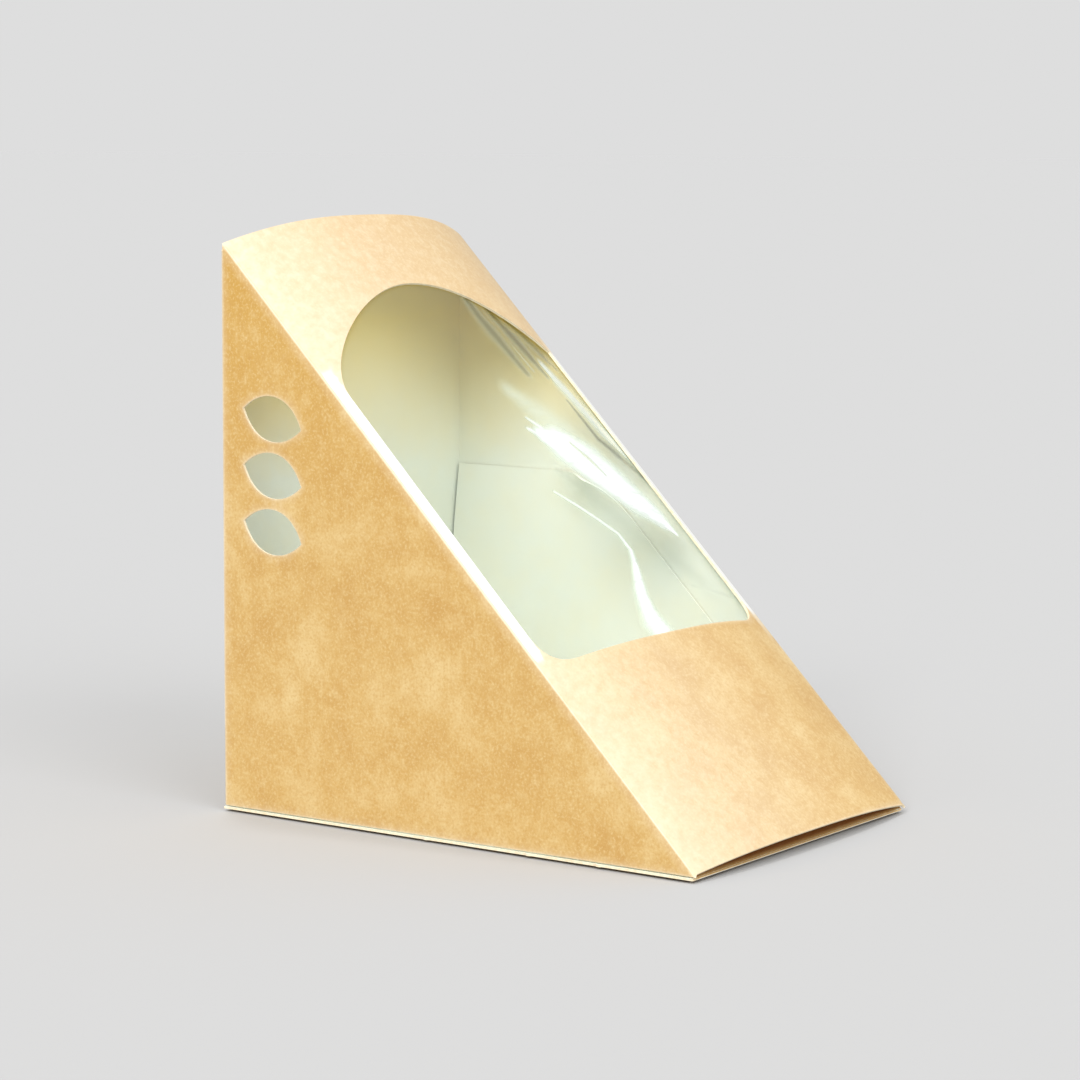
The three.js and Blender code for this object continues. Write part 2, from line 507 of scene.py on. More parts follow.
class Bench:
    """One material's node tree, with short calls for the nodes that the finishes share."""

    def __init__(self, name: str) -> None:
        """Start a material with its Principled shader.

        Args:
            name: The material's name.
        """
        self.material = bpy.data.materials.new(name)
        self.material.use_nodes = True
        self.tree = self.material.node_tree
        self.shader = self.tree.nodes["Principled BSDF"]
        self.place = self.tree.nodes.new("ShaderNodeTexCoord").outputs["Object"]

    def link(self, source: Socket, target: str) -> None:
        """Lead a value to one of the shader's inputs."""
        self.tree.links.new(source, self.shader.inputs[target])

    def set(self, **values: object) -> None:
        """Set the shader's own sockets, named with underscores for spaces."""
        for key, value in values.items():
            self.shader.inputs[key.replace("_", " ")].default_value = value

    def fill(self, socket: Socket, value: Socket | Colour | float) -> None:
        """Lead a value to an input, or set the input where the value is a colour or a number."""
        if isinstance(value, Socket):
            self.tree.links.new(value, socket)
        elif isinstance(value, tuple):
            socket.default_value = (*value, 1) if socket.type == "RGBA" else value
        else:
            socket.default_value = value

    def node(self, kind: str, output: str, **inputs: object) -> Socket:
        """Add a node.

        Args:
            kind: The node's type without its common beginning.
            output: The output wanted.
            inputs: Values or sockets by input name, with underscores for spaces.

        Returns:
            The output's socket.
        """
        node = self.tree.nodes.new("ShaderNode" + kind)
        for key, value in inputs.items():
            self.fill(node.inputs[key.replace("_", " ")], value)
        return node.outputs[output]

    def stretched(self, scale: tuple[float, float, float], turn: float) -> Socket:
        """Give object coordinates stretched and turned, for fibres that lie one way."""
        rotation = (turn, turn * 0.6, 0)
        return self.node("Mapping", "Vector", Scale=scale, Rotation=rotation, Vector=self.place)

    def noise(self, scale: float, detail: float, where: Socket | None = None) -> Socket:
        """Give a noise value from 0 to 1, from features per metre and octaves of detail."""
        where = where or self.place
        return self.node("TexNoise", "Fac", Scale=scale, Detail=detail, Roughness=0.6, Vector=where)

    def spread(self, value: Socket, low: float, high: float, to: tuple[float, float]) -> Socket:
        """Map a value from one range to another, clamped at the ends."""
        ends = {"From_Min": low, "From_Max": high, "To_Min": to[0], "To_Max": to[1]}
        return self.node("MapRange", "Result", Value=value, **ends)

    def ramp(self, value: Socket, stops: list[tuple[float, Colour]]) -> Socket:
        """Colour a value by a ramp of stops."""
        colour = self.node("ValToRGB", "Color", Fac=value)
        ramp = colour.node.color_ramp
        while len(ramp.elements) < len(stops):
            ramp.elements.new(0.5)
        for element, (place, tone) in zip(ramp.elements, stops):
            element.position = place
            element.color = (*tone, 1)
        return colour

    def mix(self, factor: Socket, first: Socket | Colour, second: Socket | Colour) -> Socket:
        """Mix two colours by the share of the second."""
        node = self.tree.nodes.new("ShaderNodeMix")
        node.data_type = "RGBA"
        for socket, value in ((0, factor), (6, first), (7, second)):
            self.fill(node.inputs[socket], value)
        return node.outputs[2]

    def layer(self, under: Socket | Colour, value: Socket, span: Span, over: Colour) -> Socket:
        """Lay a colour over another: none at the span's low value, its share at the high one."""
        low, high, share = span
        return self.mix(self.spread(value, low, high, (0.0, share)), under, over)

    def attribute(self, name: str) -> Socket:
        """Give the value of one of the mesh's own attributes."""
        value = self.node("Attribute", "Fac")
        value.node.attribute_name = name
        return value

    def height(self) -> Socket:
        """Give the height above the ground."""
        return self.node("SeparateXYZ", "Z", Vector=self.place)

    def arithmetic(self, kind: str, first: Socket, second: Socket) -> Socket:
        """Combine two values, such as their product or the larger of them."""
        node = self.tree.nodes.new("ShaderNodeMath")
        node.operation = kind
        for socket, value in zip(node.inputs, (first, second)):
            self.fill(socket, value)
        return node.outputs[0]

    def bump(self, value: Socket, strength: float, distance: float) -> None:
        """Raise the surface by a value."""
        lift = self.node("Bump", "Normal", Strength=strength, Distance=distance, Height=value)
        self.link(lift, "Normal")


@dataclass(frozen=True)
class KraftOutside:
    """Uncoated kraft: mottled tan fibre, paler where it is worn, with a painted sheen on the
    front's left half, painted highlight strips by the window and painted shade on the tuck flap.
    """

    name: str = "kraft_outside"
    dark: Colour = srgb(186, 144, 78)
    middle: Colour = srgb(198, 162, 98)
    light: Colour = srgb(214, 188, 134)
    golden: Colour = srgb(190, 143, 50)
    # Pale tone for wear at cuts and folds, which also paints the sheen on the front's left half.
    wear_and_sheen: Colour = srgb(224, 212, 188)
    # Near-white: the palest fold wear, and the painted highlight strips by the window.
    fold_wear_and_highlight: Colour = srgb(226, 228, 226)
    # Painted shade on the tuck flap.
    tuck_shade: Colour = srgb(122, 66, 12)
    golden_from: float = 60 * MM
    golden_to: float = 125 * MM
    roughness: float = 0.42

    def build(self) -> Material:
        """Make the material."""
        bench = Bench(self.name)
        blotches = bench.noise(85, 7)
        fibres = bench.noise(480, 7, bench.stretched((1.0, 1.15, 0.95), 0.7))
        grain = bench.noise(1700, 2)
        tone = bench.ramp(blotches, [(0.2, self.dark), (0.5, self.middle), (0.8, self.light)])
        wear_and_painted_light = bench.attribute("wear_and_painted_light")
        for layer in (
            (bench.height(), (self.golden_from, self.golden_to, 0.75), self.golden),
            (fibres, (0.5, 0.78, 0.55), self.light),
            (fibres, (0.48, 0.25, 0.5), self.dark),
            (grain, (0.52, 0.72, 0.6), self.light),
            (grain, (0.48, 0.28, 0.6), self.dark),
        ):
            tone = bench.layer(tone, *layer)
        patchy = bench.spread(fibres, 0.3, 0.7, (0.78, 1.1))
        # Paler for wear at cuts and folds, and for the painted sheen on the front's left half.
        wear_and_sheen = bench.arithmetic("MULTIPLY", bench.spread(wear_and_painted_light, 0.0, 1.0, (0.0, 1.0)), patchy)
        tone = bench.mix(wear_and_sheen, tone, self.wear_and_sheen)
        # Painted shade on the tuck flap, where the value is negative.
        tone = bench.layer(tone, wear_and_painted_light, (0.0, -1.0, 0.95), self.tuck_shade)
        # The painted highlight strips by the window, and the palest fold wear, go near-white.
        tone = bench.layer(tone, wear_and_painted_light, (0.84, 0.97, 0.9), self.fold_wear_and_highlight)
        bench.link(tone, "Base Color")
        bench.set(Roughness=self.roughness, Specular_IOR_Level=0.4)
        bench.bump(fibres, 0.18, 0.1 * MM)
        return bench.material


@dataclass(frozen=True)
class LinedInside:
    """The inner faces' white lining, with painted warm light towards the top, for light that comes
    through the kraft.
    """

    name: str = "lined_inside"
    white: Colour = srgb(236, 241, 230)
    # Painted warm light, for light coming through the kraft towards the top.
    warm_glow: Colour = srgb(248, 216, 92)
    warm_glow_from: float = 70 * MM
    warm_glow_to: float = 104 * MM

    def build(self) -> Material:
        """Make the material."""
        bench = Bench(self.name)
        # Painted warm light rises towards the top; a faint random mottle of the same colour
        # follows.
        rise = (self.warm_glow_from, self.warm_glow_to, 0.85)
        tone = bench.layer(self.white, bench.height(), rise, self.warm_glow)
        tone = bench.layer(tone, bench.noise(90, 3), (0.35, 0.7, 0.12), self.warm_glow)
        bench.link(tone, "Base Color")
        bench.set(Roughness=0.42, Specular_IOR_Level=0.4)
        bench.bump(bench.noise(400, 3), 0.08, 0.1 * MM)
        return bench.material


@dataclass(frozen=True)
class CutEdge:
    """The pale core that shows at a die-cut edge."""

    name: str = "cut_edge"
    core: Colour = srgb(236, 224, 196)
    fibre: Colour = srgb(222, 196, 152)

    def build(self) -> Material:
        """Make the material."""
        bench = Bench(self.name)
        tone = bench.layer(self.core, bench.noise(900, 3), (0.4, 0.7, 0.6), self.fibre)
        bench.link(tone, "Base Color")
        bench.set(Roughness=0.8)
        return bench.material


@dataclass(frozen=True)
class ClearFilm:
    """Thin clear film with a faint green cast, painted white reflections along its pulls and
    painted shade in its folds.
    """

    name: str = "clear_film"
    cast: Colour = srgb(206, 226, 206)
    # Painted reflection colour along the pulls.
    white: Colour = srgb(240, 244, 243)
    shade: Colour = srgb(58, 66, 42)
    clear_alpha: float = 0.07
    white_alpha: float = 0.95
    shade_alpha: float = 0.42

    def build(self) -> Material:
        """Make the material."""
        bench = Bench(self.name)
        tone = bench.attribute("wear_and_painted_light")
        along = bench.stretched((0.5, 2.2, 1.0), 0.5)
        # Painted reflections: near-opaque white along the pulls, broken into streaks.
        streak = bench.spread(bench.noise(330, 4, along), 0.3, 0.5, (0.72, 1.0))
        light = bench.spread(tone, 0.0, 1.0, (0.0, 1.0))
        white = bench.arithmetic("MULTIPLY", light, streak)
        # Painted shade in the dark folds.
        shade = bench.spread(tone, 0.0, -1.0, (0.0, 1.0))
        colour = bench.mix(shade, self.cast, self.shade)
        bench.link(bench.mix(white, colour, self.white), "Base Color")
        lighter = bench.spread(white, 0.0, 1.0, (self.clear_alpha, self.white_alpha))
        darker = bench.spread(shade, 0.0, 1.0, (self.clear_alpha, self.shade_alpha))
        bench.link(bench.arithmetic("MAXIMUM", lighter, darker), "Alpha")
        bench.set(Roughness=0.08, Specular_IOR_Level=0.8)
        return bench.material


@dataclass(frozen=True)
class PaleFloor:
    """The plain pale surface that the pack stands on."""

    name: str = "pale_floor"
    tone: float = 0.458

    def build(self) -> Material:
        """Make the material."""
        bench = Bench(self.name)
        grey = (self.tone, self.tone, self.tone, 1)
        bench.set(Base_Color=grey, Roughness=1.0, Specular_IOR_Level=0.0)
        return bench.material


@dataclass
class Carton:
    """The folded board: front panel, side panels, back panel, top flap and glue flap."""

    sizes: PackSizes
    slope: SlopeFrame
    step: float = 1.6 * MM
    edge_strip: float = 2.7 * MM
    arch_crown: float = 20.8 * MM
    crown_shift: float = -3 * MM
    left_shoulder: float = 46 * MM
    right_shoulder: float = 38.5 * MM
    window_foot: float = 119.3 * MM
    window_corner: float = 8 * MM
    crown_reach: float = 16 * MM
    left_reach: float = 12 * MM
    right_reach: float = 14 * MM
    right_drop: float = 7 * MM
    vent_count: int = 3
    vent_pitch: float = 12.1 * MM
    vent_top: float = 87.7 * MM
    vent_from_back: float = 6 * MM
    vent_length: float = 15.8 * MM
    vent_drop: float = 4 * MM
    vent_swell: float = 4.4 * MM
    vent_rear_reach: float = 4.9 * MM
    vent_front_reach: float = 3.1 * MM
    top_flap: float = 12 * MM
    top_flap_corner: float = 5 * MM
    glue_flap: float = 9 * MM
    glue_inset: float = 4 * MM
    glue_slant: float = 2 * MM
    glue_step: float = 3 * MM
    wear_reach: float = 0.4 * MM
    side_wear: tuple[float, float] = (0.5, 0.8)
    back_wear: tuple[float, float] = (0.6, 1.0)
    # Painted highlight on the strips between the window and the folds, over this stretch down the
    # slope.
    highlight_from: float = 26 * MM
    highlight_to: float = 126 * MM
    highlight_fades: tuple[float, float] = (14 * MM, 10 * MM)
    # Painted glare on the front's left half: its share at the top and at the foot, its falloff, and
    # how it stops at the folds.
    glare_top: tuple[float, float] = (0.36, 0.46)
    glare_foot: float = 0.72
    glare_power: float = 1.6
    painted_light_edge: float = 0.3 * MM

    def window(self) -> Array:
        """Give the window's outline across the pack and down the slope."""
        side = self.sizes.half_width - self.edge_strip
        foot, corner = self.window_foot, self.window_corner
        right_handle = (side - self.right_reach, self.right_shoulder - self.right_drop)
        crown = (self.crown_shift, self.arch_crown)
        after_crown = (self.crown_shift - self.crown_reach, self.arch_crown)
        before_crown = (self.crown_shift + self.crown_reach, self.arch_crown)
        left_handle = (-side, self.left_shoulder - self.left_reach)
        return np.vstack([
            bezier([(side, self.right_shoulder), right_handle, before_crown, crown], 40),
            bezier([crown, after_crown, left_handle, (-side, self.left_shoulder)], 40),
            bezier([(-side, self.left_shoulder), (-side, foot - corner)], 2),
            bezier([(-side, foot - corner), (-side, foot), (corner - side, foot)], 12),
            bezier([(corner - side, foot), (side - corner, foot)], 2),
            bezier([(side - corner, foot), (side, foot), (side, foot - corner)], 12),
        ])

    def vent(self, row: int) -> Array:
        """Give one leaf-shaped vent in depth and height; its lower edge is the upper one turned."""
        tip_z = self.vent_top - row * self.vent_pitch
        tip = np.array([self.sizes.back_y - self.vent_from_back, tip_z])
        length, drop, swell = self.vent_length, self.vent_drop, self.vent_swell
        front = length - self.vent_front_reach
        upper = [(0, 0), (self.vent_rear_reach, swell), (front, swell), (length, -drop)]
        lower = [(length - x, -drop - y) for x, y in upper]
        leaf = np.vstack([bezier(upper, 24), bezier(lower, 24)])
        return tip + leaf * [-1, 1]

    def side_plan(self, y: Array, z: Array, side: int) -> Array:
        """Give the plan of points in the left (-1) or right (1) side: across the blank and down."""
        down, below = self.slope.of_side(np.asarray(y, float), np.asarray(z, float)).T
        return np.column_stack([side * (self.sizes.half_width + below), down])

    def fold_front(self, plan: Array) -> Array:
        """Fold the blank of the front and the two sides.

        Within the front a point lies on the bowed surface, and past the fold it goes straight down
        the side. Round the fold it follows a quadratic curve whose handle is the sharp corner.

        Args:
            plan: Across the blank and down the slope.

        Returns:
            The place of each point.
        """
        sizes = self.sizes
        radius = sizes.fold
        across, down = plan[:, 0], plan[:, 1]
        away = np.abs(across)
        edge = sizes.half_width
        on_front = np.minimum(away, edge - radius)
        share = unit((away - edge + radius) / (2 * radius))
        lift = self.slope.bulge(on_front, down)
        width = (1 - share) ** 2 * on_front + 2 * share * (1 - share) * edge + share ** 2 * edge
        past = np.maximum(away - edge - radius, 0)
        out = (1 - share) ** 2 * lift - share ** 2 * radius - past
        return self.slope.place(np.sign(across) * width, down, out)

    def front_and_sides(self) -> Shell:
        """Build the front panel and both side panels as one folded sheet."""
        sizes = self.sizes
        edge, foot = sizes.half_width, sizes.panel_foot
        top_trim = sizes.board * sizes.height / sizes.depth
        rear = sizes.back_y - sizes.fold
        rear_top = sizes.height * (1 - sizes.fold / sizes.depth)
        toe = foot * sizes.depth / sizes.height - sizes.back_y
        side_y, side_z = [rear, rear, toe], [rear_top, foot, foot]
        right = self.side_plan(side_y, side_z, 1)
        left = self.side_plan(side_y, side_z, -1)[::-1]
        panel_foot = sizes.slope - sizes.foot_trim
        outline = np.vstack([
            [[-edge, top_trim], [edge, top_trim]],
            right,
            [[edge - 2 * sizes.fold, panel_foot], [2 * sizes.fold - edge, panel_foot]],
            left,
        ])
        vents = [self.side_plan(*self.vent(row).T, -1) for row in range(self.vent_count)]
        offsets = [sign * (edge + share * sizes.fold) for sign in (-1, 1) for share in FOLD_SHARES]
        creases = fold_lines(offsets, (0, sizes.slope), self.step, True)
        cut = DieCut(outline, [self.window(), *vents], self.step, creases)

        def wear_and_painted_light(plan: Array, to_cut: Array) -> Array:
            """Give the wear of cuts and folds, the painted highlight in the strips by the window
            and the painted glare on the left half.
            """
            across, down = plan.T
            to_fold = np.abs(np.abs(across) - edge)
            wear_and_sheen = worn_edges(to_cut, to_fold, self.wear_reach, self.side_wear)
            # Painted highlight in the strips beside the window.
            beside = unit((down - self.highlight_from) / self.highlight_fades[0])
            beside *= unit((self.highlight_to - down) / self.highlight_fades[1])
            highlight_strip = unit((self.edge_strip + np.abs(across) - edge + MM) / MM)
            # Painted glare, strongest at the left fold and kept to the front panel.
            share = unit((edge - across) / (2 * edge))
            at_foot = self.glare_foot * share ** self.glare_power
            at_top = self.glare_top[0] + self.glare_top[1] * share ** 2
            painted_glare = np.where(down > sizes.slope / 2, at_foot, at_top)
            front = unit((edge - np.abs(across)) / self.painted_light_edge)
            return np.maximum(wear_and_sheen, np.maximum(highlight_strip * beside, painted_glare) * front)

        return folded_shell(cut, self.fold_front, sizes, [0, 10 * MM], wear_and_painted_light)

    def back_and_flap(self) -> Shell:
        """Build the back panel, the wraps at its two upright folds, and the flap at its top."""
        sizes = self.sizes
        radius = sizes.fold
        flat = sizes.half_width - radius
        wrap = flat + radius * math.pi / 2
        corner_z = sizes.height - sizes.panel_foot * sizes.slope / sizes.depth
        start = np.array([0.0, sizes.back_y, sizes.panel_foot])
        corner = np.array([0.0, sizes.back_y, corner_z])
        up_length = corner_z - sizes.panel_foot
        flap_half = sizes.inner_half_width

        def fold(plan: Array) -> Array:
            """Go up the back, over the top and down behind the front, and round at each side."""
            place = corner_profile(plan[:, 1], start, corner, self.slope.down, radius)
            away = np.abs(plan[:, 0])
            past = np.clip((away - flat) / radius, 0, math.pi / 2)
            round_x = np.minimum(away, flat) + radius * np.sin(past)
            place[:, 0] = np.sign(plan[:, 0]) * np.where(past > 0, round_x, away)
            place[:, 1] -= radius * (1 - np.cos(past)) * (plan[:, 1] < up_length - radius)
            return place

        shoulder = up_length - 2 * radius
        outline = np.vstack([
            [[-wrap, 0], [wrap, 0], [wrap, shoulder], [flap_half, up_length - radius]],
            flap_end(flap_half, up_length + self.top_flap, self.top_flap_corner),
            [[-flap_half, up_length - radius], [-wrap, shoulder]],
        ])
        turns = [sign * (flat + share * radius) for sign in (-1, 1) for share in (0, 0.4, 0.8, 1.2)]
        over = [up_length + share * radius for share in FOLD_SHARES]
        creases = np.vstack([
            fold_lines(turns, (0, up_length), self.step, True),
            fold_lines(over, (-flap_half, flap_half), self.step, False),
        ])
        cut = DieCut(outline, [], self.step, creases)

        def wear_and_painted_light(plan: Array, to_cut: Array) -> Array:
            """Give the wear, which fades away from cuts, the upright folds and the top fold."""
            to_turn = np.abs(np.abs(plan[:, 0]) - flat - 0.8 * radius)
            to_fold = np.minimum(to_turn, np.abs(plan[:, 1] - up_length))
            return worn_edges(to_cut, to_fold, self.wear_reach, self.back_wear)

        return folded_shell(cut, fold, sizes, [0, 50 * MM], wear_and_painted_light)

    def glue_strip(self) -> Shell:
        """Build the glue flap, a flat strip on the inner face of the back panel."""
        sizes = self.sizes
        low = sizes.panel_foot + self.glue_inset
        high = sizes.height - 3 * sizes.board - self.top_flap
        left = -sizes.half_width + sizes.board
        right = -sizes.half_width + self.glue_flap
        face_y = sizes.back_y - sizes.board

        def fold(plan: Array) -> Array:
            """Stand the strip up against the back panel's inner face."""
            return np.column_stack([plan[:, 0], np.full(len(plan), face_y), plan[:, 1]])

        slant = self.glue_slant
        outline = np.array([[left, low], [right, low + slant], [right, high - slant], [left, high]])
        return folded_shell(
            DieCut(outline, [], self.glue_step),
            fold,
            sizes,
            [left, 50 * MM],
            lambda plan, to_cut: np.exp(-to_cut / self.wear_reach),
        )

    def build(self, materials: list[Material]) -> Piece:
        """Build the piece and hide the solid that it stands for."""
        shells = [self.front_and_sides(), self.back_and_flap(), self.glue_strip()]
        piece = mesh_piece("carton_board", shells, materials)
        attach(piece, "carton")
        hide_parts("carton")
        return piece


@dataclass
class BaseLid:
    """The base panel with the tuck flap at its front and the side flap at its right edge."""

    sizes: PackSizes
    slope: SlopeFrame
    step: float = 1.8 * MM
    overhang: float = 0.4 * MM
    tuck: float = 24 * MM
    tuck_corner: float = 6 * MM
    flap_height: float = 69 * MM
    flap_depth: float = 40 * MM
    flap_corner: float = 5 * MM
    flap_toe: float = 8 * MM
    flap_bow: float = 3.3 * MM
    bow_reach: float = 20 * MM
    flap_gap: float = 0.6 * MM
    flap_turn: float = 0.98
    curl: float = 6 * MM
    curl_reach: float = 14 * MM
    nick_places: tuple[float, ...] = (0.45, 0.664, 0.805)
    nick_width: float = 1.4 * MM
    nick_proud: float = 0.3 * MM
    wear_reach: float = 0.6 * MM
    base_wear: tuple[float, float] = (0.6, 1.0)
    # Painted shade on the tuck flap begins this far past the front fold and fades in.
    tuck_shade_from: float = 0.2 * MM
    tuck_shade_fade: float = 0.3 * MM

    @property
    def fold_y(self) -> float:
        """Give the depth coordinate of the front fold."""
        return self.sizes.panel_foot * self.sizes.slope / self.sizes.height - self.sizes.back_y

    def left_edge(self) -> list[tuple[float, float]]:
        """Give the base's left edge from front to rear, with the small nicks of die cutting."""
        sizes = self.sizes
        edge = -sizes.half_width - self.overhang + self.nick_proud
        tip = edge - self.nick_proud
        half = self.nick_width / 2
        points = [(edge, sizes.back_y - self.fold_y - sizes.fold)]
        for share in sorted(self.nick_places, reverse=True):
            middle = share * sizes.depth
            points += [(edge, middle + half), (tip, middle + half * 0.6)]
            points += [(tip, middle - half * 0.6), (edge, middle - half)]
        return [*points, (edge, 0)]

    def base_and_tuck(self) -> Shell:
        """Build the base panel and the tuck flap as one folded sheet, outer face down."""
        sizes = self.sizes
        radius = sizes.fold
        start = np.array([0.0, sizes.back_y, 0.0])
        corner = np.array([0.0, self.fold_y, 0.0])
        flat = sizes.back_y - self.fold_y
        right = sizes.inner_half_width - radius
        half = sizes.inner_half_width

        def fold(plan: Array) -> Array:
            """Go forward along the ground, round the front fold and up behind the front panel."""
            place = corner_profile(plan[:, 1], start, corner, -self.slope.down, radius)
            place[:, 0] = plan[:, 0]
            return place

        outline = np.vstack([
            [[right, 0], [right, flat - radius], [half, flat]],
            flap_end(half, flat + self.tuck, self.tuck_corner),
            [[-half, flat]],
            self.left_edge(),
        ])
        over = [flat + share * radius for share in FOLD_SHARES]
        cut = DieCut(outline, [], self.step, fold_lines(over, (-half, half), self.step, False))

        def wear_and_painted_light(plan: Array, to_cut: Array) -> Array:
            """Give the wear, which fades away from cuts and the front fold; the tuck flap gets
            painted shade as negative values.
            """
            past = plan[:, 1] - flat
            wear_and_sheen = worn_edges(to_cut, np.abs(past), self.wear_reach, self.base_wear)
            # Painted shade on the tuck flap, as negative values.
            return wear_and_sheen - unit((past - self.tuck_shade_from) / self.tuck_shade_fade)

        return folded_shell(cut, fold, sizes, [0, 50 * MM], wear_and_painted_light)

    def bow(self, y: Array, z: Array) -> Array:
        """Give how far the side flap leans into the pack.

        It is a half sine up its height that fades forward, and a curl that grows towards its top
        front corner.
        """
        back_y = self.sizes.back_y
        lean = self.flap_bow * np.sin(math.pi * unit(z / self.flap_height))
        lean *= np.exp(-((back_y - y) / self.bow_reach) ** 2)
        away = np.hypot(y - back_y + self.flap_depth, z - self.flap_height)
        return lean + self.curl * unit(1 - away / self.curl_reach) ** 2

    def side_flap(self) -> Shell:
        """Build the flap inside the right side panel, folded up from the base's right edge."""
        sizes = self.sizes
        radius = sizes.fold
        face = sizes.inner_half_width
        rear = sizes.back_y - sizes.board - self.flap_gap
        top_front = sizes.back_y - self.flap_depth
        slant = sizes.depth / sizes.height
        toe_y = top_front - (self.flap_height - self.flap_toe) * slant
        bend, top = self.flap_corner, self.flap_height
        start = np.array([face - radius, 0.0, 0.0])
        corner = np.array([face, 0.0, 0.0])
        up = np.array([0.0, 0.0, 1.0])

        def fold(plan: Array) -> Array:
            """Go out along the ground, round the fold and up beside the right panel, with a bow."""
            place = corner_profile(plan[:, 1] + radius, start, corner, up, radius * self.flap_turn)
            place[:, 1] = plan[:, 0]
            place[:, 0] -= self.bow(plan[:, 0], np.maximum(plan[:, 1] - radius, 0))
            return place

        slant_start = (top_front - bend * slant, top - bend)
        outline = np.vstack([
            [[rear, -radius], [rear, top]],
            bezier([(top_front + bend, top), (top_front, top), slant_start], CORNER_POINTS),
            [slant_start, [toe_y, self.flap_toe], [toe_y, -radius]],
        ])
        turns = [share * radius for share in FOLD_SHARES[1:]]
        creases = fold_lines(turns, (toe_y, rear), self.step, False, MM)
        cut = DieCut(outline, [], self.step, creases)
        return folded_shell(
            cut, fold, sizes, [0, 30 * MM], lambda plan, to_cut: 0 * to_cut, Face.INSIDE
        )

    def build(self, materials: list[Material]) -> Piece:
        """Build the piece and hide the solid that it stands for."""
        piece = mesh_piece("base_lid_board", [self.base_and_tuck(), self.side_flap()], materials)
        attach(piece, "lid")
        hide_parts("base_lid")
        return piece


@dataclass(frozen=True)
class Pull:
    """One pull line or shaded fold in the film.

    The path holds places across and down, each with a half width, in millimetres. The tone goes
    from -1 (painted shade) to 1 (painted white reflection), and the rise is in millimetres.
    """

    path: tuple[tuple[float, float, float], ...]
    tone: float
    rise: float = 0.0
    crisp: float = 2.0

    def strength(self, across: Array, down: Array) -> Array:
        """Give the pull's share at each point.

        The distance to the path, over the half width there, is raised to a power and put through
        a falling exponential.

        Args:
            across: Distance from the middle of the pack.
            down: Distance down the slope.

        Returns:
            Values from 0 to 1.
        """
        nodes = np.array(self.path) * MM
        ratio = np.full_like(across, np.inf)
        for start, end in zip(nodes, nodes[1:]):
            way = end[:2] - start[:2]
            along = ((across - start[0]) * way[0] + (down - start[1]) * way[1]) / (way @ way)
            along = unit(along)
            away = np.hypot(across - start[0] - along * way[0], down - start[1] - along * way[1])
            ratio = np.minimum(ratio, away / (start[2] + along * (end[2] - start[2])))
        return np.exp(-ratio ** self.crisp)


# Pulls with a positive tone carry painted white reflections, those with a negative tone painted
# shade.
PULLS = (
    Pull(((7.5, 64.5, 2.6), (13, 68.2, 6.2), (19, 74.4, 7.6), (25, 81.8, 6.6), (31, 87.9, 4.4),
          (34.5, 93.2, 0.8)), 1.0, -0.5, 4.0),
    Pull(((3.6, 62.5, 0.5), (8, 65.5, 1.6), (14, 70.5, 2)), 0.8, 0.2),
    Pull(((6, 59.5, 0.4), (10, 63.6, 1.2), (16, 69, 2)), 0.7, -0.2),
    Pull(((16, 67, 0.4), (19, 72, 0.8), (21, 76.5, 0.3)), -0.9, 0.2),
    Pull(((-3.2, 79.6, 0.3), (1.1, 83.9, 0.4), (4.9, 88.3, 0.45), (8.3, 92.7, 0.5),
          (8.5, 97.3, 0.7), (5.7, 102, 0.9)), 0.8, 0.25),
    Pull(((6.3, 101, 0.9), (1.2, 108.3, 1.8), (-1.1, 113.9, 2.7), (-2.2, 117.6, 3.8)),
         0.95, 0.4, 3.0),
    Pull(((29.4, 54.4, 0.6), (30.1, 60.3, 1.1), (30.6, 65.6, 1.4), (35.9, 70.4, 2.1),
          (41.1, 75.5, 1.8)), -1.0, -0.15),
    Pull(((3.5, 74.5, 1.6), (8.5, 82.1, 3.6), (14.1, 90.7, 5.3), (21.3, 98.3, 5.9),
          (28, 106.6, 4.5)), -0.3, 0.3),
    Pull(((30, 44, 2), (34.4, 54.3, 3.4), (38, 63.9, 3.6), (41.5, 72, 3)), 0.62, 0.1),
    Pull(((7, 52, 2.4), (12, 58.6, 4.4), (18, 64, 4)), 0.26),
    Pull(((15, 22, 0.9), (17.4, 35, 2.6), (19, 47, 1.2)), -0.8),
    Pull(((21.5, 25, 1.1), (25.4, 36, 2.8), (28, 47, 1.2)), -0.9),
    Pull(((27, 28, 1), (33.1, 36.5, 2.4), (38, 43, 1.3)), -0.8),
    Pull(((20, 27, 0.4), (21.6, 36.7, 0.7), (23, 46, 0.4)), 0.2),
    Pull(((22.4, 108.3, 0.5), (33.7, 110.7, 0.8), (41, 112, 0.8)), -0.25, -0.2),
)


